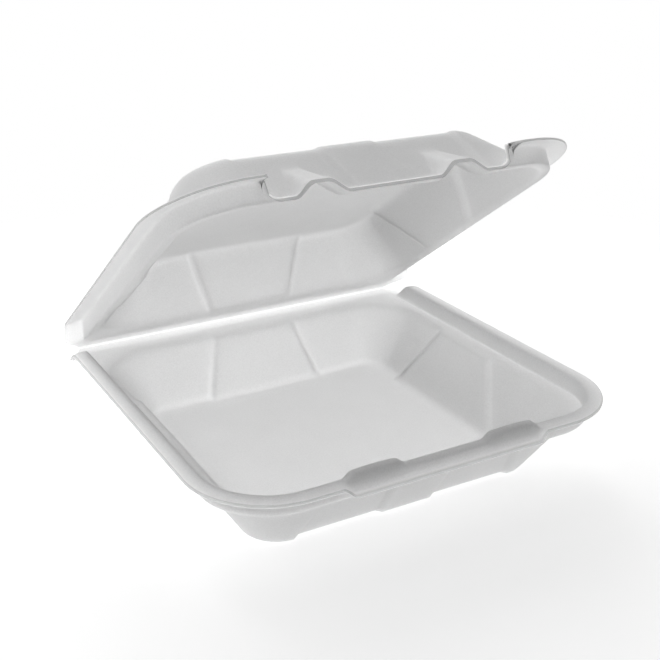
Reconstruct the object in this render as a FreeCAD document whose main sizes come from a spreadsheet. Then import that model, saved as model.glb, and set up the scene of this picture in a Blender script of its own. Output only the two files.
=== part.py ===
"""A hinged foam clamshell container: a square tray and a lid, formed from one foam sheet.

The tray and the lid are joined by a crease along the back. The tray's rim is an upright
step with a flat crest, the lid's rim stands inside that step and hoods over the crest.
At the front the tray has a lock lip with two raised tabs, and the lid has two arches that
go round them. X points right, Y to the back, Z up; the origin is the middle of the
tray's flat underside. Lengths are in millimetres.
"""
import FreeCAD, Part
import math
import os
import Sketcher

os.makedirs("parts", exist_ok=True)
doc = FreeCAD.newDocument("foam_clamshell")
sheet = doc.addObject("Spreadsheet::Sheet", "sizes")

SIZES = [
    ("foam_thickness", 2.2, "thickness of the formed sheet"),
    ("trimmed_edge", 1.3, "thickness of the sheet where the trim press pinches it"),
    ("rim_width", 232, "across the tray's rim, left to right"),
    ("rim_front", 114.3, "from the middle to the front edge of the rim"),
    ("hinge_back", 114.3, "from the middle to the crease"),
    ("rim_corner", 42.8, "radius of the rim's front corners"),
    ("crest_height", 47.2, "top of the tray's rim above the underside"),
    ("lip_width", 3.8, "width of the thin lip outside the crest"),
    ("lip_droop", 1.0, "how far the lip falls to its edge"),
    ("crest_width", 4.7, "flat top of the rim"),
    ("riser_lean", 1.2, "how far the upright step leans outwards"),
    ("riser_height", 9.7, "height of the step from ledge to crest"),
    ("ledge_width", 6.7, "flat ledge inside the step"),
    ("rim_root", 3, "how far the tray's rim runs into its ledge"),
    ("rim_end_step", 0.4, "spacing of the rims' corners where they have flattened"),
    ("hinge_above_ledge", 1.3, "crease above the tray's ledge"),
    ("hinge_gap", 0.25, "half the gap between the two halves at the crease"),
    ("hinge_web", 0.7, "thickness of the sheet at the crease"),
    ("hinge_ramp", 7, "length over which the sheet thins towards the crease"),
    ("rim_end_back", 88, "where the rims start to flatten towards the crease"),
    ("crease_in", 9.5, "how far the crease's ends stay inside the rim"),
    ("opening_corner", 27, "corner radius of the bowls at the ledge"),
    ("floor_half", 79, "from the middle to the side walls at the floor"),
    ("floor_back", 82.5, "from the middle to the back wall at the floor"),
    ("floor_front", 74.5, "from the middle to the front wall at the floor"),
    ("floor_corner", 20, "corner radius of the bowls at floor and ceiling"),
    ("floor_band", 14, "width of the band that rises round the flat floor"),
    ("floor_rise", 1.2, "how far that band rises"),
    ("ceiling_band", 17, "width of the band round the lid's flat ceiling"),
    ("wall_slant", 1.17, "sloping wall's thickness measured level, over the sheet's"),
    ("panel_depth", 3.0, "depth of the pressed-in wall panels at the floor"),
    ("panel_fade", 0.9, "depth of the panels at the ledge"),
    ("panel_flank", 3.0, "width of a panel's slanting flank"),
    ("side_panel_near", 21.5, "half width of a side panel at the ledge"),
    ("side_panel_far", 45, "half width of a side panel at the floor"),
    ("side_panel_near_back", 12, "how far a side panel's middle lies back at the ledge"),
    ("side_panel_far_back", 5, "how far a side panel's middle lies back at the floor"),
    ("back_panel_near", 24.5, "half width of the back panel at the ledge"),
    ("back_panel_far", 35.5, "half width of the back panel at the floor"),
    ("front_panel_near_in", 18.5, "inner end of a front panel at the ledge"),
    ("front_panel_near_out", 54, "outer end of a front panel at the ledge"),
    ("front_panel_far_in", 16.5, "inner end of a front panel at the floor"),
    ("front_panel_far_out", 55, "outer end of a front panel at the floor"),
    ("lock_half", 53, "half length of the lock lip"),
    ("lock_drop", 5.6, "how far the lock lip falls below the crest"),
    ("lock_reach", 2.4, "how far the lock lip reaches past the rim's edge"),
    ("lock_face_in", 0.8, "how far the lock lip's upright face stays behind the rim's edge"),
    ("lock_flare", 2, "height of the lock lip's flared foot"),
    ("lock_wall", 1.5, "thickness of the lock lip"),
    ("tab_centre", 38, "from the middle to each raised tab"),
    ("tab_half", 16, "half length of a tab"),
    ("tab_rise", 3.6, "height of a tab above the crest"),
    ("tab_proud", 0.6, "how far a tab stands out in front of the crest"),
    ("nest_clearance", 1.1, "gap between the lid's step and the tray's"),
    ("lid_ledge_above", 1.1, "lid's ledge above the crease when closed"),
    ("lid_hood_rise", 4.6, "top of the lid's step above the tray's crest"),
    ("lid_hood_edge", 0.4, "lid's outer edge above the tray's crest"),
    ("lid_overhang", 0.6, "how far the lid's edge reaches past the tray's lip"),
    ("lid_riser_lean", 0.7, "how far the lid's step leans outwards"),
    ("lid_riser_wall", 1.9, "level thickness of the lid's step"),
    ("lid_rim_root", 5, "how far the lid's rim runs into its ledge"),
    ("lid_depth", 35.4, "from the lid's ledge up to its ceiling"),
    ("lid_top_half", 79, "from the middle to the side walls at the ceiling"),
    ("lid_top_back", 80, "from the middle to the back wall at the ceiling"),
    ("lid_top_front", 67, "from the middle to the front wall at the ceiling"),
    ("lid_corner_flap", 68, "from the middle to the ends of the lid's front flaps"),
    ("lid_trim_in", 1.5, "how far the lid's front edge is trimmed in"),
    ("flap_shoulder_rise", 4, "height of the slanting shoulder at a front flap's end"),
    ("flap_shoulder_run", 8, "length of that shoulder"),
    ("arch_centre", 38, "from the middle to each arch over a tab"),
    ("arch_half", 12.5, "half width of an arch inside"),
    ("arch_rise", 5.5, "height of an arch inside"),
    ("arch_reach", 18, "how far an arch runs back into the front wall"),
    ("arch_rise_back", 16.5, "height of an arch inside at its back end"),
    ("form_overlap", 1, "how far joined forms run into each other"),
    ("open_angle", 35, "how far the lid stands open, in degrees"),
]
for row, (alias, value, note) in enumerate(SIZES, start=1):
    sheet.set(f"A{row}", alias)
    sheet.set(f"B{row}", str(value))
    sheet.setAlias(f"B{row}", alias)
    sheet.set(f"C{row}", note)

# Levels and widths that several pieces share, worked out from the sizes above.
DERIVED = [
    ("rim_half", "rim_width / 2"),
    ("crease_half", "rim_half - crease_in"),
    ("ledge_out", "rim_half - lip_width - crest_width - riser_lean"),
    ("ledge_in", "ledge_out - ledge_width"),
    ("ledge_out_front", "rim_front - lip_width - crest_width - riser_lean"),
    ("ledge_in_front", "ledge_out_front - ledge_width"),
    ("ledge_in_back", "hinge_back - (rim_front - ledge_in_front)"),
    ("ledge_top", "crest_height - riser_height"),
    ("hinge_height", "ledge_top + hinge_above_ledge"),
    ("lid_ledge", "hinge_height + lid_ledge_above"),
    ("lid_ledge_out", "ledge_out - nest_clearance"),
    ("lid_ledge_out_front", "ledge_out_front - nest_clearance"),
    ("lid_riser_top", "crest_height + lid_hood_rise"),
    ("lid_edge_low", "crest_height + lid_hood_edge"),
    ("lid_half", "rim_half + lid_overhang"),
    ("ceiling", "lid_ledge + lid_depth"),
    ("wall_level", "foam_thickness * wall_slant"),
    ("wall_lean", "( ledge_in - floor_half ) / ( ledge_top - floor_rise )"),
    ("mouth_level", "wall_level - foam_thickness * wall_lean"),
    ("trim_line", "lid_ledge_out_front - lid_trim_in"),
]
for row, (alias, formula) in enumerate(DERIVED, start=len(SIZES) + 2):
    sheet.set(f"A{row}", alias)
    sheet.set(f"B{row}", "=" + formula)
    sheet.setAlias(f"B{row}", alias)
doc.recompute()

NAMES = sorted((row[0] for row in SIZES + DERIVED), key=len, reverse=True)
LEVEL, UPRIGHT, SIDEWAYS = "XY_Plane", "XZ_Plane", "YZ_Plane"


def full(formula):
    """A formula written in size names, with each name pointing at the sheet."""
    words = formula.replace("(", " ( ").replace(")", " ) ").split()
    return " ".join(f"sizes.{word}" if word in NAMES else word for word in words)


def worth(formula):
    return float(sheet.evalExpression(full(formula)))


def sketch_on(body, name, plane, level="0"):
    """A sketch on one of the body's origin planes, moved along the plane's normal."""
    sketch = body.newObject("Sketcher::SketchObject", name)
    origin_plane = [f for f in body.Origin.OriginFeatures if f.Role == plane][0]
    sketch.AttachmentSupport = [(origin_plane, "")]
    sketch.MapMode = "FlatFace"
    sketch.setExpression("AttachmentOffset.Base.z", full(level))
    return sketch


def pin(sketch, geometry, end, across, up):
    """Ties one point to its distances from the sketch's origin."""
    for kind, word, formula in (("DistanceX", "x", across), ("DistanceY", "y", up)):
        if formula is None:
            continue
        index = sketch.addConstraint(Sketcher.Constraint(kind, -1, 1, geometry, end, worth(formula)))
        name = f"{word}{index}"
        sketch.renameConstraint(index, name)
        sketch.setExpression(f"Constraints.{name}", full(formula))


def outline(body, name, plane, level, points):
    """A closed outline of straight lines through points given as formulas."""
    sketch = sketch_on(body, name, plane, level)
    corners = [FreeCAD.Vector(worth(across), worth(up), 0) for across, up in points]
    count = len(corners)
    for index, corner in enumerate(corners):
        sketch.addGeometry(Part.LineSegment(corner, corners[(index + 1) % count]))
    for index in range(count):
        sketch.addConstraint(Sketcher.Constraint("Coincident", index, 2, (index + 1) % count, 1))
    for index, (across, up) in enumerate(points):
        pin(sketch, index, 1, across, up)
    return sketch


def rounded_outline(body, name, level, half, back, front, corner):
    """A rectangle with four equal round corners, level, with its own back and front."""
    sketch = sketch_on(body, name, LEVEL, level)
    x, y, f, r = (worth(v) for v in (half, back, front, corner))
    vector = FreeCAD.Vector
    sides = [
        (vector(x, -f + r), vector(x, y - r)),
        (vector(x - r, y), vector(-x + r, y)),
        (vector(-x, y - r), vector(-x, -f + r)),
        (vector(-x + r, -f), vector(x - r, -f)),
    ]
    for start, stop in sides:
        sketch.addGeometry(Part.LineSegment(start, stop))
    quarter = math.pi / 2
    middles = [vector(x - r, y - r), vector(-x + r, y - r), vector(-x + r, -f + r), vector(x - r, -f + r)]
    for turn, middle in enumerate(middles):
        circle = Part.Circle(middle, vector(0, 0, 1), r)
        sketch.addGeometry(Part.ArcOfCircle(circle, turn * quarter, (turn + 1) * quarter))
    for turn in range(4):
        sketch.addConstraint(Sketcher.Constraint("Tangent", turn, 2, 4 + turn, 1))
        sketch.addConstraint(Sketcher.Constraint("Tangent", 4 + turn, 2, (turn + 1) % 4, 1))
    for line, way in ((0, "Vertical"), (1, "Horizontal"), (2, "Vertical"), (3, "Horizontal")):
        sketch.addConstraint(Sketcher.Constraint(way, line))
    for arc in (5, 6, 7):
        sketch.addConstraint(Sketcher.Constraint("Equal", 4, arc))
    radius = sketch.addConstraint(Sketcher.Constraint("Radius", 4, r))
    sketch.renameConstraint(radius, "corner")
    sketch.setExpression("Constraints.corner", full(corner))
    pin(sketch, 0, 1, half, None)
    pin(sketch, 1, 1, None, back)
    pin(sketch, 2, 1, f"0 - ( {half} )", None)
    pin(sketch, 3, 1, None, f"0 - ( {front} )")
    return sketch


def horseshoe(body, name, level, half, back, front, corner, closed):
    """Two sides, a front and two round front corners; closed by a straight back or open."""
    sketch = sketch_on(body, name, LEVEL, level)
    x, y, f, r = (worth(v) for v in (half, back, front, corner))
    vector = FreeCAD.Vector
    quarter = math.pi / 2
    sketch.addGeometry(Part.LineSegment(vector(-x, y), vector(-x, -f + r)))
    left = Part.Circle(vector(-x + r, -f + r), vector(0, 0, 1), r)
    sketch.addGeometry(Part.ArcOfCircle(left, 2 * quarter, 3 * quarter))
    sketch.addGeometry(Part.LineSegment(vector(-x + r, -f), vector(x - r, -f)))
    right = Part.Circle(vector(x - r, -f + r), vector(0, 0, 1), r)
    sketch.addGeometry(Part.ArcOfCircle(right, 3 * quarter, 4 * quarter))
    sketch.addGeometry(Part.LineSegment(vector(x, -f + r), vector(x, y)))
    for first in range(4):
        sketch.addConstraint(Sketcher.Constraint("Tangent", first, 2, first + 1, 1))
    for line, way in ((0, "Vertical"), (2, "Horizontal"), (4, "Vertical")):
        sketch.addConstraint(Sketcher.Constraint(way, line))
    sketch.addConstraint(Sketcher.Constraint("Equal", 1, 3))
    radius = sketch.addConstraint(Sketcher.Constraint("Radius", 1, r))
    sketch.renameConstraint(radius, "corner")
    sketch.setExpression("Constraints.corner", full(corner))
    pin(sketch, 0, 1, f"0 - ( {half} )", back)
    pin(sketch, 2, 1, None, f"0 - ( {front} )")
    pin(sketch, 4, 2, half, back)
    if closed:
        sketch.addGeometry(Part.LineSegment(vector(x, y), vector(-x, y)))
        sketch.addConstraint(Sketcher.Constraint("Coincident", 4, 2, 5, 1))
        sketch.addConstraint(Sketcher.Constraint("Coincident", 5, 2, 0, 1))
    return sketch


def feature(body, kind, name, profile):
    made = body.newObject(f"PartDesign::{kind}", name)
    made.Profile = profile
    return made


def loft(body, name, sketches, cut=False):
    """Straight walls between two outlines."""
    made = feature(body, "SubtractiveLoft" if cut else "AdditiveLoft", name, sketches[0])
    made.Sections = sketches[1:]
    made.Ruled = True
    return made


def pad(body, name, profile, length, both=False, cut=False, away=False):
    made = feature(body, "Pocket" if cut else "Pad", name, profile)
    made.setExpression("Length", full(length))
    made.Midplane = both
    made.Reversed = away
    return made


def mirrored(body, name, source):
    """The same feature again on the other side of the container's middle."""
    made = body.newObject("PartDesign::Mirrored", name)
    made.Originals = [source]
    side = [f for f in body.Origin.OriginFeatures if f.Role == SIDEWAYS][0]
    made.MirrorPlane = (side, [""])
    body.Tip = made
    return made


def body_named(name):
    return doc.addObject("PartDesign::Body", name)


def pressed_outline(body, name, level, spread, press, side, back_end, front, flank="panel_flank"):
    """A bowl's level outline with its wall panels pressed in by the depth press.

    spread is the half width, back, front and corner radius. side holds the lower and upper
    end of the side panels, back_end the half width of the back panel, front the inner and
    outer end of the front panels.
    """
    half, back, fore, corner = spread
    low, high = side
    near, out = front
    right = [(half, f"0 - ( {fore} ) + {corner}"), (half, f"{low} - {flank}"),
             (f"{half} - {press}", low), (f"{half} - {press}", high),
             (half, f"{high} + {flank}"), (half, f"{back} - ( {corner} )")]
    behind = [(f"{half} - ( {corner} )", back), (f"{back_end} + {flank}", back),
              (back_end, f"{back} - {press}")]
    before = [(f"{near} - {flank}", f"0 - ( {fore} )"), (near, f"0 - ( {fore} ) + {press}"),
              (out, f"0 - ( {fore} ) + {press}"), (f"{out} + {flank}", f"0 - ( {fore} )"),
              (f"{half} - ( {corner} )", f"0 - ( {fore} )")]

    def other_side(points):
        return [(f"0 - ( {across} )", up) for across, up in reversed(points)]

    points = right + behind + other_side(behind) + other_side(right) + other_side(before) + before
    turns = (len(right), len(right) + 2 * len(behind), 2 * len(right) + 2 * len(behind), len(points))
    middles = [(f"{half} - ( {corner} )", f"{back} - ( {corner} )"),
               (f"0 - ( {half} ) + {corner}", f"{back} - ( {corner} )"),
               (f"0 - ( {half} ) + {corner}", f"0 - ( {fore} ) + {corner}"),
               (f"{half} - ( {corner} )", f"0 - ( {fore} ) + {corner}")]
    arcs = {turn - 1: middle for turn, middle in zip(turns, middles)}
    sketch = sketch_on(body, name, LEVEL, level)
    places = [FreeCAD.Vector(worth(across), worth(up), 0) for across, up in points]
    radius = worth(corner)
    quarter = math.pi / 2
    for index, place in enumerate(places):
        if index in arcs:
            middle = FreeCAD.Vector(worth(arcs[index][0]), worth(arcs[index][1]), 0)
            turn = turns.index(index + 1)
            circle = Part.Circle(middle, FreeCAD.Vector(0, 0, 1), radius)
            sketch.addGeometry(Part.ArcOfCircle(circle, turn * quarter, (turn + 1) * quarter))
        else:
            sketch.addGeometry(Part.LineSegment(place, places[(index + 1) % len(places)]))
    for index in range(len(places)):
        after = (index + 1) % len(places)
        sketch.addConstraint(Sketcher.Constraint("Coincident", index, 2, after, 1))
    for index, (across, up) in enumerate(points):
        pin(sketch, index, 1, across, up)
    for index in arcs:
        held = sketch.addConstraint(Sketcher.Constraint("Radius", index, radius))
        sketch.renameConstraint(held, f"corner{index}")
        sketch.setExpression(f"Constraints.corner{index}", full(corner))
    return sketch


def bowl(body, name, near, far, flat, mouth, base, band, grow_mouth, grow):
    """The straight-walled form of a bowl, with its panels pressed in.

    near is the level of the ledge, far that of the walls' feet and flat that of the floor.
    mouth and base give half width, back, front and corner there. band is how far the flat
    floor stays inside the walls' feet. grow_mouth and grow widen the form by the wall's
    level thickness.
    """
    mouth_ring = pressed_outline(
        body, f"{name}_mouth", near, [f"{size} + {grow_mouth}" for size in mouth], "panel_fade",
        ("side_panel_near_back - side_panel_near", "side_panel_near_back + side_panel_near"),
        "back_panel_near", ("front_panel_near_in", "front_panel_near_out"))
    base_ring = pressed_outline(
        body, f"{name}_base", far, [f"{size} + {grow}" for size in base], "panel_depth",
        ("side_panel_far_back - side_panel_far", "side_panel_far_back + side_panel_far"),
        "back_panel_far", ("front_panel_far_in", "front_panel_far_out"))
    loft(body, name, [mouth_ring, base_ring])

    def ring(tag, level, inset):
        half, back, front, corner = base
        return rounded_outline(body, f"{name}_{tag}", level, f"{half} + {grow} - {inset}",
                               f"{back} + {grow} - {inset}", f"{front} + {grow} - {inset}",
                               f"{corner} + {grow} - {inset}")

    loft(body, f"{name}_floor", [ring("foot", far, "panel_depth"), ring("flat", flat, band)])


def rim_section(kind):
    """Corners of the thin rim section, from the ledge outwards and back, as across and up."""
    if kind == "tray":
        return [
            ("ledge_out - rim_root", "ledge_top"),
            ("ledge_out", "ledge_top"),
            ("ledge_out + riser_lean", "crest_height"),
            ("ledge_out + riser_lean + crest_width", "crest_height"),
            ("rim_half", "crest_height - lip_droop"),
            ("rim_half", "crest_height - lip_droop - trimmed_edge"),
            ("ledge_out + riser_lean + crest_width", "crest_height - foam_thickness"),
            ("ledge_out + riser_lean + foam_thickness", "crest_height - foam_thickness"),
            ("ledge_out + foam_thickness", "ledge_top - foam_thickness"),
            ("ledge_out - rim_root", "ledge_top - foam_thickness"),
        ]
    return [
        ("lid_ledge_out - lid_rim_root", "lid_ledge"),
        ("lid_ledge_out", "lid_ledge"),
        ("lid_ledge_out + lid_riser_lean", "lid_riser_top"),
        ("lid_half", "lid_edge_low"),
        ("lid_half", "lid_edge_low + trimmed_edge"),
        ("lid_ledge_out + lid_riser_lean", "lid_riser_top + foam_thickness"),
        ("lid_ledge_out + lid_riser_lean - lid_riser_wall", "lid_riser_top + foam_thickness"),
        ("lid_ledge_out - foam_thickness", "lid_ledge + foam_thickness"),
        ("lid_ledge_out - lid_rim_root", "lid_ledge + foam_thickness"),
    ]


def flat_section(kind):
    """The same corners where the rim has flattened into the ledge beside the crease."""
    if kind == "tray":
        top, low = "ledge_top", "ledge_top - foam_thickness"
        steps = ["ledge_out - rim_root"]
        steps += [f"crease_half - {count} * rim_end_step" for count in (3, 2, 1, 0)]
        return [(step, top) for step in steps] + [(step, low) for step in reversed(steps)]
    low, top = "lid_ledge", "lid_ledge + foam_thickness"
    root = "lid_ledge_out - lid_rim_root"
    inward = [f"crease_half - nest_clearance - {count} * rim_end_step" for count in (5, 4, 3, 2)]
    below = [(root, low), (inward[2], low), (inward[3], low), ("crease_half", low)]
    above = [("crease_half", top), (inward[3], top), (inward[1], top), (inward[0], top), (root, top)]
    return below + above


def rim(body, kind, half, front, corner):
    """The rim: its section follows two sides, the front and its corners, then flattens."""
    points = rim_section(kind)
    section = outline(body, f"{kind}_rim_section", UPRIGHT, "0 - rim_end_back", points)
    path = horseshoe(body, f"{kind}_rim_path", "0", half, "rim_end_back", front, corner, closed=False)
    pipe = feature(body, "AdditivePipe", f"{kind}_rim", section)
    pipe.Spine = path
    for side, sign in (("right", ""), ("left", "0 - ")):
        upright = [(f"{sign}( {x} )", z) for x, z in points]
        flat = [(f"{sign}( {x} )", z) for x, z in flat_section(kind)]
        start = outline(body, f"{kind}_{side}_end_start", UPRIGHT, "0 - rim_end_back", upright)
        stop = outline(body, f"{kind}_{side}_end_stop", UPRIGHT, "0 - hinge_back + hinge_ramp", flat)
        loft(body, f"{kind}_{side}_rim_end", [start, stop])


def check(made):
    """Stops at anything that failed or came out empty."""
    for item in doc.Objects:
        if "Invalid" in item.State or "Error" in item.State:
            raise SystemExit(f"{item.Name} failed: {item.State}")
    for item in made:
        shape = item.Shape
        if shape.isNull() or not shape.isValid() or len(shape.Solids) != 1:
            raise SystemExit(f"{item.Label}: {len(shape.Solids)} solids, valid {shape.isValid()}")
        print(item.Label, "volume", round(shape.Volume), "box", shape.BoundBox)


def crease_strip(body, kind):
    """The flat back strip, thinning to the crease."""
    back = "hinge_back - hinge_gap"
    inner = "hinge_back - hinge_ramp"
    if kind == "tray":
        top, low = "ledge_top", "ledge_top - foam_thickness"
        edge, under = "hinge_height - hinge_gap", "hinge_height - hinge_gap - hinge_web"
    else:
        low, top = "lid_ledge", "lid_ledge + foam_thickness"
        under, edge = "hinge_height + hinge_gap", "hinge_height + hinge_gap + hinge_web"
    points = [(inner, low), (back, under), (back, edge), (inner, top)]
    profile = outline(body, f"{kind}_crease_profile", SIDEWAYS, "0", points)
    return pad(body, f"{kind}_crease_strip", profile, "2 * crease_half", both=True)


def ledge(body, kind, level, half, front, corner):
    """The flat ledge round the bowl, as a plate that the bowl's inside is cut from."""
    plate = horseshoe(body, f"{kind}_ledge_outline", level, half, "hinge_back - hinge_ramp",
                      front, corner, closed=True)
    return pad(body, f"{kind}_ledge", plate, "foam_thickness")


def arch_outline(body, name, level, middle, half, foot, rise):
    """An upright arc standing on a straight foot."""
    sketch = sketch_on(body, name, UPRIGHT, level)
    radius = f"( ( {half} ) * ( {half} ) + ( {rise} ) * ( {rise} ) ) / ( 2 * ( {rise} ) )"
    x, w, z, r, top = (worth(v) for v in (middle, half, foot, radius, rise))
    vector = FreeCAD.Vector
    ends = (vector(x + w, z, 0), vector(x - w, z, 0))
    sketch.addGeometry(Part.Arc(ends[0], vector(x, z + top, 0), ends[1]))
    sketch.addGeometry(Part.LineSegment(ends[1], ends[0]))
    sketch.addConstraint(Sketcher.Constraint("Coincident", 0, 2, 1, 1))
    sketch.addConstraint(Sketcher.Constraint("Coincident", 1, 2, 0, 1))
    size = sketch.addConstraint(Sketcher.Constraint("Radius", 0, r))
    sketch.renameConstraint(size, "radius")
    sketch.setExpression("Constraints.radius", full(radius))
    pin(sketch, 1, 1, f"{middle} - {half}", foot)
    pin(sketch, 1, 2, f"{middle} + {half}", foot)
    return sketch


def lock_lip(body):
    """The front lip that the lid's edge snaps behind, with its two raised tabs."""
    face = "0 - rim_front + lip_width"
    profile = outline(body, "lock_profile", SIDEWAYS, "0", [
        (face, "crest_height"),
        ("0 - rim_front + lock_face_in", "crest_height - lock_drop + lock_flare"),
        ("0 - rim_front - lock_reach", "crest_height - lock_drop + trimmed_edge"),
        ("0 - rim_front - lock_reach", "crest_height - lock_drop"),
        ("0 - rim_front + lock_face_in + lock_wall", "crest_height - lock_drop"),
        (f"{face} + lock_wall", "crest_height - foam_thickness"),
        (f"{face} + lock_wall", "crest_height"),
    ])
    pad(body, "lock_lip", profile, "2 * lock_half", both=True)
    inner = "ledge_out_front + riser_lean"
    tab = arch_outline(body, "tab_outline", inner, "tab_centre", "tab_half",
                       "crest_height - form_overlap", "tab_rise + form_overlap")
    raised = pad(body, "tab", tab, "crest_width + tab_proud")
    mirrored(body, "tab_pair", raised)


def front_trim(body):
    """Cuts the lid's rim away between the two corner flaps, down to the ledge."""
    high, low = "lid_riser_top + 2 * foam_thickness", "lid_ledge - foam_thickness"
    shoulder = "lid_ledge + flap_shoulder_rise"
    foot = "lid_corner_flap - flap_shoulder_run"
    right = [(foot, low), (foot, "lid_ledge"), ("lid_corner_flap", shoulder), ("lid_corner_flap", high)]
    left = [(f"0 - ( {across} )", up) for across, up in reversed(right)]
    window = outline(body, "front_trim_outline", UPRIGHT, "trim_line", left + right)
    pad(body, "front_trim", window, "rim_front", cut=True, away=True)


def arches(body, name, grow):
    """The two arches in the lid's front wall, one over each tab."""
    near = arch_outline(body, f"{name}_near", "trim_line", "arch_centre", f"arch_half + {grow}",
                        "lid_ledge", f"arch_rise + {grow}")
    far = arch_outline(body, f"{name}_far", "trim_line - arch_reach", "arch_centre",
                       f"arch_half + {grow}", "lid_ledge", f"arch_rise_back + {grow}")
    arch = loft(body, name, [near, far])
    mirrored(body, f"{name}_pair", arch)


TRAY_MOUTH = ("ledge_in", "ledge_in_back", "ledge_in_front", "opening_corner")
TRAY_BASE = ("floor_half", "floor_back", "floor_front", "floor_corner")
LID_TOP = ("lid_top_half", "lid_top_back", "lid_top_front", "floor_corner")


def tray_outside():
    body = body_named("tray_outside")
    bowl(body, "outer", "ledge_top - foam_thickness", "floor_rise", "0", TRAY_MOUTH, TRAY_BASE,
         "floor_band", "mouth_level", "wall_level")
    corner = "rim_corner - rim_half + ledge_out"
    ledge(body, "tray", "ledge_top - foam_thickness", "ledge_out", "ledge_out_front", corner)
    crease_strip(body, "tray")
    rim(body, "tray", "ledge_out", "ledge_out_front", corner)
    lock_lip(body)
    return body


def tray_inside():
    body = body_named("tray_inside")
    bowl(body, "inner", "ledge_top", "floor_rise + foam_thickness", "foam_thickness",
         TRAY_MOUTH, TRAY_BASE, "floor_band", "0", "0")
    return body


def lid_outside():
    body = body_named("lid_outside")
    bowl(body, "lid_outer", "lid_ledge + foam_thickness", "ceiling - floor_rise + foam_thickness",
         "ceiling + foam_thickness", TRAY_MOUTH, LID_TOP, "ceiling_band", "mouth_level", "wall_level")
    corner = "rim_corner - rim_half + lid_ledge_out"
    ledge(body, "lid", "lid_ledge", "lid_ledge_out", "lid_ledge_out_front", corner)
    crease_strip(body, "lid")
    rim(body, "lid", "lid_ledge_out", "lid_ledge_out_front", corner)
    front_trim(body)
    arches(body, "outer_arch", "foam_thickness")
    return body


def lid_inside():
    body = body_named("lid_inside")
    bowl(body, "lid_inner", "lid_ledge", "ceiling - floor_rise", "ceiling", TRAY_MOUTH, LID_TOP,
         "ceiling_band", "0", "0")
    arches(body, "inner_arch", "0")
    return body


def shell(label, outside, inside):
    """The foam sheet left between the outside form and the inside form."""
    made = doc.addObject("Part::Cut", label)
    made.Base = outside
    made.Tool = inside
    made.Label = label
    return made


base_tray = shell("base_tray", tray_outside(), tray_inside())
lid = shell("lid", lid_outside(), lid_inside())
lid.Placement = FreeCAD.Placement(
    FreeCAD.Vector(0, 0, 0),
    FreeCAD.Rotation(FreeCAD.Vector(-1, 0, 0), worth("open_angle")),
    FreeCAD.Vector(0, worth("hinge_back"), worth("hinge_height")),
)
doc.recompute()
check([base_tray, lid])
for item in (base_tray, lid):
    item.Shape.exportStep(f"parts/{item.Label}.step")
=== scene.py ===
# %% [markdown]
# # A foam clamshell container
#
# The real object is one sheet of white expanded foam. It is warmed, pressed between two
# moulds, cut out, and folded along a crease at the back. This lesson dresses a finished
# solid model of it, which is loaded as a frame: a tray and a lid that turns on the crease.
# The frame stays for measuring, and each half is modelled again as a soft pressed sheet.

# %% Load the frame
import math
import bmesh
import bpy
import numpy as np
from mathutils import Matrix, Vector


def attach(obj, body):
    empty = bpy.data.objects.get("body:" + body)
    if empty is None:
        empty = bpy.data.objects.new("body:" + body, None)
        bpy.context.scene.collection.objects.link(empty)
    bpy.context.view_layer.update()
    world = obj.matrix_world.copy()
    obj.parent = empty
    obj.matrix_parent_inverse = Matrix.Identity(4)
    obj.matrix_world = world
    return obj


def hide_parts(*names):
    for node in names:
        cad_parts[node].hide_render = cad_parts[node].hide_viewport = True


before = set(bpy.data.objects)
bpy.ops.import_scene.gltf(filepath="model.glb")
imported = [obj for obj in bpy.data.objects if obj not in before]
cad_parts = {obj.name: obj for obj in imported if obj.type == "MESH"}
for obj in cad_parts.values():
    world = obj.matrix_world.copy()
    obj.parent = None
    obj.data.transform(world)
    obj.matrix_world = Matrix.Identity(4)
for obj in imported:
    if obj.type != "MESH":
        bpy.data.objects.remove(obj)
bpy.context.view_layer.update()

# %% [markdown]
# ## How a pressed sheet is modelled
#
# A pressed sheet could be made by sculpting a grid, or by adding thickness to a surface. A
# thickness added along the normals folds over at tight bends, and here the foam is thinner
# at its cut edge and at the crease. So each half is a chain of rings instead. It starts as
# a small circle in the middle of the floor. Its rim is extruded again and again: out over
# the floor, up the wall, over the rim, round the cut edge, and back underneath to the
# middle. The result is closed, and every level has the size it should have.

# %% The columns that a ring is made of
MM = 0.001
SHEET = 2.2
CREASE_BACK, CREASE_HEIGHT = 114.3, 38.8
FRONT_REACH = 73.2
FRONT_ZONE = 6
SIDE_COLUMNS, CORNER_COLUMNS = 104, 28


def spread(start, stop, step):
    """Evenly spaced places from start up to, but not at, stop."""
    count = max(1, round(abs(stop - start) / step))
    return [start + (stop - start) * turn / count for turn in range(count)]


def front_places():
    """Places along the front, closer together where a lip, a tab or a flap ends."""
    marks = [(-FRONT_REACH, 0.6), (-68.3, 0.1), (-67.7, 0.6), (-54.5, 0.35), (-51, 1.0),
             (-20, 1.3), (20, 1.0), (51, 0.35), (54.5, 0.6), (67.7, 0.1), (68.3, 0.6),
             (FRONT_REACH, None)]
    places = []
    for (start, step), (stop, _) in zip(marks, marks[1:]):
        places += spread(start, stop, step)
    return [(place + FRONT_REACH) / (2 * FRONT_REACH) for place in places]


columns = []
for zone in range(8):
    if zone == FRONT_ZONE:
        shares = front_places()
    else:
        count = CORNER_COLUMNS if zone % 2 else SIDE_COLUMNS
        shares = [turn / count for turn in range(count)]
    columns += [(zone, share) for share in shares]
ZONE = np.array([zone for zone, _ in columns])
SHARE = np.array([share for _, share in columns])
print("columns in each ring:", len(columns))


# %% [markdown]
# A ring's level is written with eight numbers in millimetres: how far it reaches to the
# side, to the front and to the back, its height, its height beside the crease, its front
# and back corner radii, and how far it reaches to the side beside the crease. A profile is
# a short list of such levels, one for each bend, with a rounding for the bend.

# %% Rings and rounded profiles
def soft_step(value, start, stop):
    """Goes smoothly from 0 at start to 1 at stop."""
    share = np.clip((value - start) / (stop - start), 0, 1)
    return share * share * (3 - 2 * share)


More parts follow.
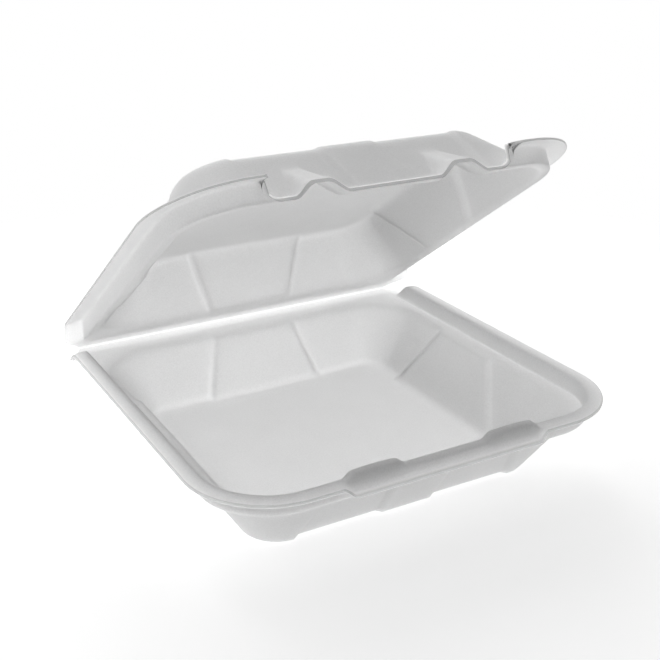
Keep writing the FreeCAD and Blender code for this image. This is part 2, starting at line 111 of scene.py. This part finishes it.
def ring_points(level):
    """Where each column lies on the ring of one level."""
    side, front, back, height, height_back, round_front, round_back, side_back = level
    angle = np.radians(90 * SHARE)
    cos, sin = np.cos(angle), np.sin(angle)
    in_front, in_back = side - round_front, side - round_back
    y_low, y_high = -front + round_front, back - round_back
    along = y_low + SHARE * (y_high - y_low)
    x = np.select([ZONE == zone for zone in range(8)], [
        side + 0 * SHARE, in_back + round_back * cos, in_back * (1 - 2 * SHARE),
        -in_back - round_back * sin, -side + 0 * SHARE, -in_front - round_front * cos,
        -in_front * (1 - 2 * SHARE), in_front + round_front * sin])
    y = np.select([ZONE == zone for zone in range(8)], [
        along, y_high + round_back * sin, back + 0 * SHARE, y_high + round_back * cos,
        y_low + y_high - along, y_low - round_front * sin, -front + 0 * SHARE,
        y_low - round_front * cos])
    x = x * (1 - soft_step(y, 97, 113.5) * (1 - side_back / side))
    z = height + (height_back - height) * soft_step(y, 88, 102)
    return np.stack([x, y, z], axis=1)


def rounded(levels, bend_steps=5):
    """The levels of a profile with each bend rounded, and the runs between them divided."""
    points = [np.array(level, float) for level, _, _ in levels]
    out = [points[0]]
    for index in range(1, len(points)):
        point, bend, steps = points[index], levels[index][1], levels[index][2]
        last = index == len(points) - 1
        before = point - points[index - 1]
        after = point - point if last else points[index + 1] - point
        leave = before * min(0.49, bend / np.linalg.norm(before[[0, 3]]))
        start = point if last else point - leave
        here = out[-1]
        out += [here + (start - here) * step / steps for step in range(1, steps + 1)]
        if not last:
            stop = point + after * min(0.49, bend / np.linalg.norm(after[[0, 3]]))
            for step in range(1, bend_steps + 1):
                t = step / bend_steps
                out.append((1 - t) ** 2 * start + 2 * t * (1 - t) * point + t * t * stop)
    return np.array(out)


# %% [markdown]
# The extruding is done by the operator, as by hand. Each new rim is then put in its place.
# A number stored on each vertex says which column it belongs to, and every extruded copy
# keeps that number, so the order in which the operator makes vertices doesn't matter.

# %% Extrude a chain of rings
def extruded_sheet(name, rings):
    """A closed sheet made by extruding a circle through the rings, from middle to middle."""
    bpy.ops.object.select_all(action="DESELECT")
    bpy.ops.mesh.primitive_circle_add(vertices=len(columns), radius=0.01, fill_type="NGON")
    piece = bpy.context.object
    piece.name = name
    bpy.ops.object.mode_set(mode="EDIT")
    mesh = bmesh.from_edit_mesh(piece.data)
    column_of = mesh.verts.layers.int.new("column")
    level_of = mesh.verts.layers.int.new("level")
    start = math.atan2(rings[0][0][1], rings[0][0][0])
    around = sorted(mesh.verts,
                    key=lambda v: (math.atan2(v.co.y, v.co.x) - start) % (2 * math.pi))
    for place, vertex in enumerate(around):
        vertex[column_of] = place
        vertex.co = Vector(rings[0][place]) * MM
    bpy.ops.mesh.select_mode(type="EDGE")
    bpy.ops.mesh.select_all(action="SELECT")
    for number, ring in enumerate(rings[1:], start=1):
        bpy.ops.mesh.extrude_edges_move()
        mesh = bmesh.from_edit_mesh(piece.data)
        column_of = mesh.verts.layers.int["column"]
        level_of = mesh.verts.layers.int["level"]
        for vertex in mesh.verts:
            if vertex.select:
                vertex.co = Vector(ring[vertex[column_of]]) * MM
                vertex[level_of] = number
        bmesh.update_edit_mesh(piece.data)
    bpy.ops.mesh.edge_face_add()
    bpy.ops.mesh.select_all(action="SELECT")
    bpy.ops.mesh.normals_make_consistent(inside=False)
    bpy.ops.object.mode_set(mode="OBJECT")
    bpy.ops.object.shade_smooth()
    print(name, "faces", len(piece.data.polygons))
    return piece


# %% [markdown]
# ## The tray
#
# From the middle outwards the upper side is a flat floor with a band that rises round it,
# walls that lean outwards, a flat ledge, an upright step, a flat crest and a thin lip. The
# under side follows it back, one sheet's thickness away: 2.2 mm, 1.3 mm where the trimming
# press pinches the lip, and less than a millimetre at the crease. Each entry below is a
# level, the rounding of its bend and the number of steps that lead to it.

# %% The tray's profile
TRAY_UPPER = [
    ((2, 2, 2, 2.2, 2.2, 1.5, 1.5, 2), 0, 1),
    ((64, 59.5, 67.5, 2.2, 2.2, 12, 12, 64), 8, 5),
    ((79, 74.5, 82.5, 3.4, 3.4, 16, 16, 79), 3.5, 3),
    ((99.6, 97.9, 97.9, 37.5, 37.5, 27, 27, 99.6), 3, 14),
    ((106.3, 104.6, 107.3, 37.5, 37.5, 33.1, 7, 104.6), 1.2, 2),
    ((107.5, 105.8, 109.3, 47.2, 37.8, 34.3, 6, 105.2), 1.5, 3),
    ((112.2, 110.5, 112, 47.2, 38.2, 39, 4, 105.9), 1.6, 2),
    ((114.2, 112.5, 113, 46.7, 38.4, 41, 3, 106.2), 0.8, 1),
    ((115.9, 114.2, 113.95, 46.2, 38.5, 42.7, 2, 106.4), 0.35, 1),
]
TRAY_UNDER = [
    ((116, 114.3, 114.05, 44.9, 37.9, 42.8, 2, 106.5), 0.5, 1),
    ((112.2, 110.5, 112.3, 45, 37.3, 39, 4, 106), 1, 1),
    ((109.8, 108.1, 109.5, 45, 36.3, 36.6, 6, 105.6), 1, 1),
    ((108.5, 106.8, 107.3, 35.3, 35.3, 35.3, 7, 105.2), 2.5, 3),
    ((100.9, 99.1, 99.5, 35.3, 35.3, 28.3, 28.3, 100.9), 3, 2),
    ((81.6, 77.1, 85.1, 1.2, 1.2, 18.2, 18.2, 81.6), 2.6, 12),
    ((66, 61.5, 69.5, 0, 0, 14, 14, 66), 6, 2),
    ((2, 2, 2, 0, 0, 1.5, 1.5, 2), 0, 5),
]
TRAY_LEDGE, TRAY_FLOOR = 37.5, 3.4


def swapped(profile, changes):
    """The same profile with the front reach and height of some levels changed."""
    out = []
    for number, (level, bend, steps) in enumerate(profile):
        if number in changes:
            reach, height = changes[number]
            level = (level[0], reach, level[2], height, *level[4:])
        out.append((level, bend, steps))
    return out


tray_profile = TRAY_UPPER + TRAY_UNDER
LOCK_LEVELS = {7: (112.4, 43.5), 8: (116.5, 42.6), 9: (116.7, 41.5), 10: (112.2, 41.6),
               11: (109.2, 45)}
tray_levels = rounded(tray_profile)
lock_levels = rounded(swapped(tray_profile, LOCK_LEVELS))
print("levels in the tray's profile:", len(tray_levels))

# %% [markdown]
# ### Pressed panels
#
# The walls have panels pressed inwards. A panel starts narrow and shallow under the ledge
# and grows wider and deeper to the floor, so that the corners are left standing as broad
# columns. They could be cut with inset and moved faces, but their flanks fade out along
# the wall. Here every ring is pressed towards the panel's plane by a soft step instead, in
# the same way as a mould presses the sheet.

# %% Press the panels into a ring
PANELS = {
    "side": ((12, 21.5), (5, 45)),
    "back": ((0, 24.5), (0, 35.5)),
    "front": ((36.25, 17.75), (39, 22.5)),
}
PANEL_NEAR_DEPTH, PANEL_FAR_DEPTH, PANEL_FLANK = 2.0, 3.0, 3.0
WALL_TOP, WALL_FOOT = 101.5, 79


def pressed(points, level, depth_share, strength):
    """Presses one ring's panels. depth_share is 0 at the ledge and 1 at the floor."""
    side, front, back = level[0], level[1], level[2]
    depth = (PANEL_NEAR_DEPTH + (PANEL_FAR_DEPTH - PANEL_NEAR_DEPTH) * depth_share) * strength
    x, y = points[:, 0].copy(), points[:, 1].copy()

    def inside(along, wall):
        (near_middle, near_half), (far_middle, far_half) = PANELS[wall]
        middle = near_middle + (far_middle - near_middle) * depth_share
        half = near_half + (far_half - near_half) * depth_share
        return 1 - soft_step(np.abs(along - middle), half, half + PANEL_FLANK)

    flat_side = side - depth
    over = np.maximum(np.abs(x) - flat_side, 0)
    points[:, 0] = x - np.sign(x) * over * inside(y, "side")
    points[:, 1] -= np.maximum(y - (back - depth), 0) * inside(x, "back")
    points[:, 1] += np.maximum(-y - (front - depth), 0) * inside(np.abs(x), "front")
    return points


def wall_share(height, ledge, floor):
    """How far down a wall a level lies, and how strongly a panel is pressed there."""
    share = (height - ledge) / (floor - ledge)
    strength = np.clip(share * 12 + 0.4, 0, 1) if share < 0.5 else 1.0
    return float(np.clip(share, 0, 1)), float(strength)


def panelled(points, level, ledge, floor, fade_start, fade_run):
    """Presses the panels into a ring of a wall, and fades them out past the wall's foot."""
    if fade_start < level[0] < WALL_TOP:
        share, strength = wall_share(level[3], ledge, floor)
        if level[0] < WALL_FOOT:
            strength = min((level[0] - fade_start) / fade_run, 1)
        points = pressed(points, level, share, strength)
    return points


print("walls with panels:", ", ".join(PANELS))

# %% [markdown]
# ### The lock lip and its tabs
#
# At the front the lip turns down and flares out, so that the lid's edge snaps behind it,
# and two tabs stand up from the crest. The lock lip is a second version of the profile,
# blended in along the front. A tab is a low arch added to the height of the crest.

# %% Rings of the tray
LOCK_HALF, LOCK_BLEND, LOCK_FRONT = 54.5, 3, -90
TAB_MIDDLE, TAB_HALF, TAB_RISE, TAB_FLANK = 38.5, 16, 3.8, 5.5
TAB_BASE, TAB_BLEND, TAB_FRONT = 43.5, 3, -104
UNDER_FROM = 0.55


def tab_height(x):
    """A tab rises softly at its ends and is nearly flat on top."""
    across = np.abs(np.abs(x) - TAB_MIDDLE)
    flat = np.clip(1 - (across / TAB_HALF) ** 2, 0, None)
    return TAB_RISE * (0.75 + 0.25 * flat) * soft_step(TAB_HALF + 1 - across, 0, TAB_FLANK)


def tray_ring(number):
    """A plain ring with the lock lip blended in, the panels pressed and the tabs raised."""
    level = tray_levels[number]
    points, locked = ring_points(level), ring_points(lock_levels[number])
    across = np.abs(points[:, 0])
    share = 1 - soft_step(across, LOCK_HALF - LOCK_BLEND, LOCK_HALF + LOCK_BLEND)
    points = points + (locked - points) * (share * (points[:, 1] < LOCK_FRONT))[:, None]
    under = SHEET * (number > len(tray_levels) * UNDER_FROM)
    points = panelled(points, level, TRAY_LEDGE - under, TRAY_FLOOR - under, 64, 12)
    raised = np.clip((points[:, 2] - TAB_BASE) / TAB_BLEND, 0, 1)
    points[:, 2] += tab_height(points[:, 0]) * raised * (points[:, 1] < TAB_FRONT)
    return points


tray_rings = [tray_ring(number) for number in range(len(tray_levels))]
tray = extruded_sheet("pressed_tray", tray_rings)

# %% [markdown]
# ## The lid
#
# The lid is modelled closed and then turned up about the crease. Its profile starts on the
# inside of the ceiling. Its rim is a step that stands inside the tray's step, with a hood
# that droops over the tray's crest.

# %% The lid's profile
LID_LOWER = [
    ((2, 2, 2, 75.3, 75.3, 1.5, 1.5, 2), 0, 1),
    ((57, 45, 58, 75.3, 75.3, 8, 8, 57), 8, 5),
    ((79, 67, 80, 74.1, 74.1, 20, 20, 79), 4, 3),
    ((99.6, 97.9, 97.9, 39.9, 39.9, 27, 27, 99.6), 3, 14),
    ((105.2, 103.5, 107.3, 39.9, 39.9, 32, 7, 103.9), 1.2, 2),
    ((105.9, 104.2, 109.5, 50.0, 39.6, 32.7, 6, 104.3), 1.8, 5),
    ((116.4, 114.7, 113.95, 47.8, 39.1, 43.2, 2, 106.4), 0.3, 5),
]
LID_UPPER = [
    ((116.6, 114.9, 114.05, 48.9, 39.7, 43.4, 2, 106.5), 0.4, 1),
    ((106.1, 104.4, 110.3, 52.2, 40.6, 33, 6, 105), 1.8, 5),
    ((104, 102.3, 109, 52.2, 41.2, 31, 6.5, 104), 1, 1),
    ((103, 101.3, 107.3, 42.1, 42.1, 29.8, 7, 102.6), 0.9, 5),
    ((100.9, 99.2, 99.5, 42.1, 42.1, 28.3, 28.3, 100.9), 0.9, 1),
    ((81.6, 69.6, 82.6, 76.3, 76.3, 22.6, 22.6, 81.6), 5, 12),
    ((59, 47, 60, 77.5, 77.5, 10, 10, 59), 8, 2),
    ((2, 2, 2, 77.5, 77.5, 1.5, 1.5, 2), 0, 5),
]
LID_LEDGE, LID_CEILING = 39.9, 74.1
lid_levels = rounded(LID_LOWER + LID_UPPER)
print("levels in the lid's profile:", len(lid_levels))

# %% [markdown]
# ### The cut-back front and the arches
#
# Between two corner flaps the lid's front edge is cut back to the ledge, so that it snaps
# behind the lock lip. In each column of the front, the levels past the ledge are drawn
# back along the profile until they end at the cut. A shoulder leads up to each flap, and
# the flap's end keeps the whole height of the step, so that it passes over the tray's
# crest when the lid is closed. Two arches over the tabs are the higher of two surfaces:
# the pressed wall, or a round ridge that climbs back into it.

# %% Rings of the lid
FLAP_END, FLAP_ROUND, CUT_REACH, PINCH = 68, 3, 102.6, 1.1
SHOULDER_RUN, SHOULDER_RISE, STEP_RUN, STEP_LENGTH = 9, 6.4, 2.4, 10
ARCH_MIDDLE, ARCH_FOOT, ARCH_FLANK, ARCH_RISE, ARCH_CLIMB = 38.5, 14.8, 11.8, 6.2, 0.62
ARCH_LEAN, ARCH_BLEND, LID_FRONT, FRONT_STRAIGHT = 1.4, 1.0, -60, 100
lid_edge = int(np.argmax(lid_levels[:, 0]))
low_start = next(n for n, level in enumerate(lid_levels) if level[1] >= CUT_REACH)
high_stop = max(n for n, level in enumerate(lid_levels) if level[1] >= CUT_REACH - 1.3)


def kept_share(x, length):
    """How much of the rim is kept past the ledge, at a place along the front."""
    into_flap = abs(x) - FLAP_END
    if into_flap >= FLAP_ROUND:
        return 1.0
    if into_flap >= 0:
        corner = FLAP_ROUND - math.sqrt(FLAP_ROUND ** 2 - (FLAP_ROUND - into_flap) ** 2)
        return 1 - corner / length
    if into_flap > -STEP_RUN:
        return STEP_LENGTH / length
    return SHOULDER_RISE * max(1 + into_flap / SHOULDER_RUN, 0) ** 2 / length


def cut_back(stack):
    """Draws the levels past the ledge back to the cut, for every column of the front."""
    lower, upper = stack[low_start:lid_edge].copy(), stack[lid_edge:high_stop + 1].copy()
    for column in np.nonzero(stack[lid_edge][:, 1] < LID_FRONT)[0]:
        x = stack[lid_edge][column][0]
        for run in (lower, upper[::-1]):
            track = run[:, column].copy()
            steps = np.linalg.norm(np.diff(track, axis=0), axis=1)
            along = np.concatenate([[0], np.cumsum(steps)])
            kept = kept_share(x, along[-1]) if abs(track[0][1]) > FRONT_STRAIGHT else 1.0
            for axis in range(3):
                run[:, column, axis] = np.interp(along * kept, along, track[:, axis])
    stack[low_start:lid_edge] = lower
    stack[lid_edge:high_stop + 1] = upper
    return stack


def arched(points, thickness):
    """Lifts a ring over the arches: a smooth ridge that climbs back into the wall."""
    across = np.abs(np.abs(points[:, 0]) - ARCH_MIDDLE)
    front = points[:, 1] < LID_FRONT
    shape = soft_step(ARCH_FOOT + 0.4 * thickness - across, 0, ARCH_FLANK) * front
    rise = ARCH_RISE + ARCH_CLIMB * np.clip(CUT_REACH + points[:, 1], 0, None)
    ridge = LID_LEDGE + thickness + shape * rise
    height = points[:, 2]
    apart = np.sqrt((height - ridge) ** 2 + ARCH_BLEND ** 2)
    higher = 0.5 * (height + ridge + apart - ARCH_BLEND)
    points[:, 2] = np.where(shape > 0, np.maximum(height, higher), height)
    points[:, 1] -= ARCH_LEAN * shape * np.clip((-points[:, 1] - 99) / 3, 0, 1)
    return points


def pinched(points, number):
    """The trimming press pinches the sheet, so the upper side comes down to the cut."""
    if lid_edge <= number <= high_stop:
        share = 1 - soft_step(np.abs(points[:, 0]), FLAP_END - SHOULDER_RUN, FLAP_END)
        points[:, 1:] -= PINCH * (share * (points[:, 1] < LID_FRONT))[:, None]
    return points


def lid_ring(number):
    """A plain ring of the closed lid with the panels pressed."""
    level = lid_levels[number]
    above = SHEET * (number > lid_edge)
    return panelled(ring_points(level), level, LID_LEDGE + above, LID_CEILING + above, 60, 15)


lid_stack = cut_back(np.array([lid_ring(number) for number in range(len(lid_levels))]))
lid_rings = [pinched(arched(ring, SHEET * (number >= lid_edge)), number)
             for number, ring in enumerate(lid_stack)]
lid = extruded_sheet("pressed_lid", lid_rings)

# %% [markdown]
# ### Open the lid
#
# The lid turns up by 35 degrees about the crease, as in the photograph. The turn is made
# in edit mode, so the object stays at the origin.

# %% Turn the lid about the crease
OPEN_ANGLE = 35
bpy.ops.object.mode_set(mode="EDIT")
bpy.ops.mesh.select_all(action="SELECT")
bpy.ops.transform.rotate(value=math.radians(OPEN_ANGLE), orient_axis="X",
                         center_override=(0, CREASE_BACK * MM, CREASE_HEIGHT * MM))
bpy.ops.object.mode_set(mode="OBJECT")

# %% [markdown]
# ## The foam
#
# Foam sheet is white and almost matt, with a thin skin over small closed cells. Light goes
# deep into it, so that a wall glows when it is lit from behind. The cells show as a fine
# grain in colour and height. The grain is a node group with inputs, so that any other foam
# can use it with values of its own.

# %% Grain group
def group_socket(group, name, way, kind, value=None):
    """Adds an input or an output to a node group."""
    made = group.interface.new_socket(name=name, in_out=way, socket_type=kind)
    if value is not None:
        made.default_value = value
    return made


grain = bpy.data.node_groups.new("foam_grain", "ShaderNodeTree")
group_socket(grain, "Cells per metre", "INPUT", "NodeSocketFloat", 1300)
group_socket(grain, "Contrast", "INPUT", "NodeSocketFloat", 0.05)
group_socket(grain, "Shade", "OUTPUT", "NodeSocketFloat")
group_socket(grain, "Height", "OUTPUT", "NodeSocketFloat")
inside, outside = grain.nodes.new("NodeGroupInput"), grain.nodes.new("NodeGroupOutput")
place = grain.nodes.new("ShaderNodeTexCoord")
cells = grain.nodes.new("ShaderNodeTexVoronoi")
cells.feature = "SMOOTH_F1"
specks = grain.nodes.new("ShaderNodeTexNoise")
specks.inputs["Detail"].default_value = 4
clouds = grain.nodes.new("ShaderNodeTexNoise")
clouds.inputs["Scale"].default_value = 45
link = grain.links.new
for texture in (cells, specks, clouds):
    link(place.outputs["Object"], texture.inputs["Vector"])
for texture in (cells, specks):
    link(inside.outputs["Cells per metre"], texture.inputs["Scale"])
height = grain.nodes.new("ShaderNodeMath")
height.operation = "ADD"
link(cells.outputs["Distance"], height.inputs[0])
link(specks.outputs["Fac"], height.inputs[1])
link(height.outputs["Value"], outside.inputs["Height"])
both = grain.nodes.new("ShaderNodeMath")
both.operation = "MULTIPLY_ADD"
both.inputs[1].default_value = 0.2
link(clouds.outputs["Fac"], both.inputs[0])
link(specks.outputs["Fac"], both.inputs[2])
centred = grain.nodes.new("ShaderNodeMath")
centred.operation = "SUBTRACT"
centred.inputs[1].default_value = 0.6
link(both.outputs["Value"], centred.inputs[0])
scaled = grain.nodes.new("ShaderNodeMath")
scaled.operation = "MULTIPLY_ADD"
scaled.inputs[2].default_value = 1.0
link(centred.outputs["Value"], scaled.inputs[0])
link(inside.outputs["Contrast"], scaled.inputs[1])
link(scaled.outputs["Value"], outside.inputs["Shade"])
print("nodes in the grain group:", len(grain.nodes))

# %% [markdown]
# The cut edge gets painted shade: it is coloured grey because it faces the camera and is
# turned away from the light. A number stored on each vertex, 1 on the cut and 0 elsewhere,
# mixes the two colours.

# %% Foam material
# The grey is painted shade for the cut edge, which faces away from the light.
SKIN_WHITE, CUT_EDGE_SHADE_GREY = (0.88, 0.88, 0.88, 1), (0.45, 0.45, 0.45, 1)


def foam_material():
    """White foam that lets light through, with grain, and painted shade on the cut edge."""
    material = bpy.data.materials.new("white_foam")
    material.use_nodes = True
    nodes, link = material.node_tree.nodes, material.node_tree.links.new
    shader = nodes["Principled BSDF"]
    shader.inputs["Roughness"].default_value = 0.55
    shader.inputs["Specular IOR Level"].default_value = 0.35
    shader.inputs["Subsurface Weight"].default_value = 1.0
    shader.inputs["Subsurface Radius"].default_value = (1, 1, 1)
    shader.inputs["Subsurface Scale"].default_value = 0.018
    grains = nodes.new("ShaderNodeGroup")
    grains.node_tree = grain
    grains.inputs["Contrast"].default_value = 0.22
    cut = nodes.new("ShaderNodeAttribute")
    cut.attribute_name = "cut_edge_painted_shade"
    colour = nodes.new("ShaderNodeMix")
    colour.data_type = "RGBA"
    colour.inputs["A"].default_value = SKIN_WHITE
    colour.inputs["B"].default_value = CUT_EDGE_SHADE_GREY
    link(cut.outputs["Fac"], colour.inputs["Factor"])
    shaded = nodes.new("ShaderNodeVectorMath")
    shaded.operation = "SCALE"
    link(colour.outputs["Result"], shaded.inputs[0])
    link(grains.outputs["Shade"], shaded.inputs["Scale"])
    link(shaded.outputs["Vector"], shader.inputs["Base Color"])
    bump = nodes.new("ShaderNodeBump")
    bump.inputs["Strength"].default_value = 0.25
    bump.inputs["Distance"].default_value = 0.0002
    link(grains.outputs["Height"], bump.inputs["Height"])
    link(bump.outputs["Normal"], shader.inputs["Normal"])
    return material


foam = foam_material()


def mark_cut_edge_shade(piece, levels, rings):
    """Stores 1 where the cut edge gets painted shade and 0 on the rest, the crease among them.
    """
    edge = int(np.argmax(levels[:, 0]))
    numbers, places = np.zeros((2, len(piece.data.vertices)), np.int32)
    piece.data.attributes["level"].data.foreach_get("value", numbers)
    piece.data.attributes["column"].data.foreach_get("value", places)
    edge_levels = np.abs(numbers - edge + 3) <= 3
    beside_crease = soft_step(np.array(rings)[numbers, places, 1], 98, 106)
    cut = piece.data.attributes.new("cut_edge_painted_shade", "FLOAT", "POINT")
    cut.data.foreach_set("value", (edge_levels * (1 - beside_crease)).astype(np.float32))


for piece, levels, rings in ((tray, tray_levels, tray_rings), (lid, lid_levels, lid_rings)):
    mark_cut_edge_shade(piece, levels, rings)
    piece.data.materials.append(foam)
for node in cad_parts.values():
    node.data.materials.clear()
    node.data.materials.append(foam)
print("material of both halves:", foam.name)

# %% [markdown]
# ## The crease
#
# The sheet is pinched thin along the crease and bends there. The two halves end a quarter
# of a millimetre from it, and a thin round bead of the same foam fills the fold at any
# angle of the lid.

# %% Bead along the crease
BEAD_RADIUS, BEAD_HALF = 0.00034, 0.1062
bpy.ops.object.select_all(action="DESELECT")
bpy.ops.mesh.primitive_cylinder_add(vertices=20, radius=BEAD_RADIUS, depth=2 * BEAD_HALF,
                                    end_fill_type="NGON")
crease = bpy.context.object
crease.name = "crease_bead"
bpy.ops.object.mode_set(mode="EDIT")
bpy.ops.mesh.select_all(action="DESELECT")
bead = bmesh.from_edit_mesh(crease.data)
for face in bead.faces:
    face.select_set(abs(face.normal.z) > 0.9)
bpy.ops.mesh.bevel(offset=BEAD_RADIUS * 0.6, segments=3, affect="EDGES")
bpy.ops.mesh.select_all(action="SELECT")
bpy.ops.transform.rotate(value=math.pi / 2, orient_axis="Y", center_override=(0, 0, 0))
bpy.ops.transform.translate(value=(0, CREASE_BACK * MM, CREASE_HEIGHT * MM))
bpy.ops.object.mode_set(mode="OBJECT")
bpy.ops.object.shade_smooth()
crease.data.materials.append(foam)
print("crease_bead faces", len(crease.data.polygons))

# %% [markdown]
# ## Join the pieces to the frame
#
# Each half rides on its own body, and stands for the plain solid of the frame.

# %% Ride and replace
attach(tray, "tray")
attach(lid, "lid")
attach(crease, "tray")
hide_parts("base_tray")
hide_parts("lid")
print("pieces joined:", tray.name, lid.name, crease.name)

# %% [markdown]
# ## Floor, light and camera
#
# The floor is pale and gives light of its own, and fades into the white background.

# %% Floor
bpy.ops.object.select_all(action="DESELECT")
bpy.ops.mesh.primitive_plane_add(size=8, location=(0, 0, 0))
floor = bpy.context.object
floor.name = "studio_floor"
paper = bpy.data.materials.new("floor_paper")
paper.use_nodes = True
nodes, link = paper.node_tree.nodes, paper.node_tree.links.new
nodes["Principled BSDF"].inputs["Base Color"].default_value = (0.93, 0.93, 0.93, 1)
nodes["Principled BSDF"].inputs["Roughness"].default_value = 0.9
nodes["Principled BSDF"].inputs["Emission Color"].default_value = (1, 1, 1, 1)
nodes["Principled BSDF"].inputs["Emission Strength"].default_value = 0.48
floor_place, away, fade = (nodes.new("ShaderNode" + kind)
                           for kind in ("TexCoord", "VectorMath", "MapRange"))
clear, join = nodes.new("ShaderNodeBsdfTransparent"), nodes.new("ShaderNodeMixShader")
away.operation = "LENGTH"
fade.interpolation_type = "SMOOTHSTEP"
fade.inputs["From Min"].default_value = 0.22
fade.inputs["From Max"].default_value = 0.55
link(floor_place.outputs["Object"], away.inputs[0])
link(away.outputs["Value"], fade.inputs["Value"])
link(fade.outputs["Result"], join.inputs["Fac"])
link(nodes["Principled BSDF"].outputs["BSDF"], join.inputs[1])
link(clear.outputs["BSDF"], join.inputs[2])
link(join.outputs["Shader"], nodes["Material Output"].inputs["Surface"])
floor.data.materials.append(paper)
print("floor:", floor.name)

# %% [markdown]
# The light comes from behind and below, and much of it reaches the camera through the thin
# foam, so the faces turned to the camera are the darker ones and the open bowl is bright.
# The background is darker in front than behind, but the camera always sees it white.

# %% Background and lights
FRONT_LIGHT, BACK_LIGHT = 0.04, 1.0
world = bpy.data.worlds.new("studio")
bpy.context.scene.world = world
world.use_nodes = True
nodes, link = world.node_tree.nodes, world.node_tree.links.new
nodes["Background"].inputs["Color"].default_value = (1, 1, 1, 1)
way, parts, behind = (nodes.new("ShaderNode" + kind)
                      for kind in ("TexCoord", "SeparateXYZ", "MapRange"))
path, seen = nodes.new("ShaderNodeLightPath"), nodes.new("ShaderNodeMix")
behind.interpolation_type = "SMOOTHSTEP"
behind.inputs["From Min"].default_value = -0.7
behind.inputs["From Max"].default_value = 0.9
behind.inputs["To Min"].default_value = FRONT_LIGHT
behind.inputs["To Max"].default_value = BACK_LIGHT
link(way.outputs["Generated"], parts.inputs["Vector"])
link(parts.outputs["Y"], behind.inputs["Value"])
link(path.outputs["Is Camera Ray"], seen.inputs["Factor"])
link(behind.outputs["Result"], seen.inputs["A"])
seen.inputs["B"].default_value = 1.0
link(seen.outputs["Result"], nodes["Background"].inputs["Strength"])


def soft_light(name, place, aim, size, power):
    """A square area light at a place, turned to a point."""
    lamp = bpy.data.lights.new(name, "AREA")
    lamp.size = size
    lamp.energy = power
    holder = bpy.data.objects.new(name, lamp)
    holder.location = place
    holder.rotation_euler = (Vector(aim) - Vector(place)).to_track_quat("-Z", "Y").to_euler()
    bpy.context.scene.collection.objects.link(holder)


soft_light("back_light", place=(0.1, 1.15, 1.2), aim=(0, 0, 0.05), size=1.2, power=8)
print("light from behind:", BACK_LIGHT, "from the front:", FRONT_LIGHT)

# %% [markdown]
# The camera was found by fitting the rim, the crease and the floor of the model to their
# places in the photograph.

# %% Camera
LENS, SENSOR = 59.2, 36
eye = Vector((-0.2665, -0.4700, 0.2907))
look = Vector((0.4562, 0.8054, -0.3785))
camera_data = bpy.data.cameras.new("camera")
camera_data.lens = LENS
camera_data.sensor_width = SENSOR
camera = bpy.data.objects.new("camera", camera_data)
camera.location = eye
camera.rotation_euler = look.to_track_quat("-Z", "Y").to_euler()
bpy.context.scene.collection.objects.link(camera)
bpy.context.scene.camera = camera
bpy.context.scene.view_settings.view_transform = "Standard"
print("camera at", [round(value, 3) for value in eye], "lens", LENS)
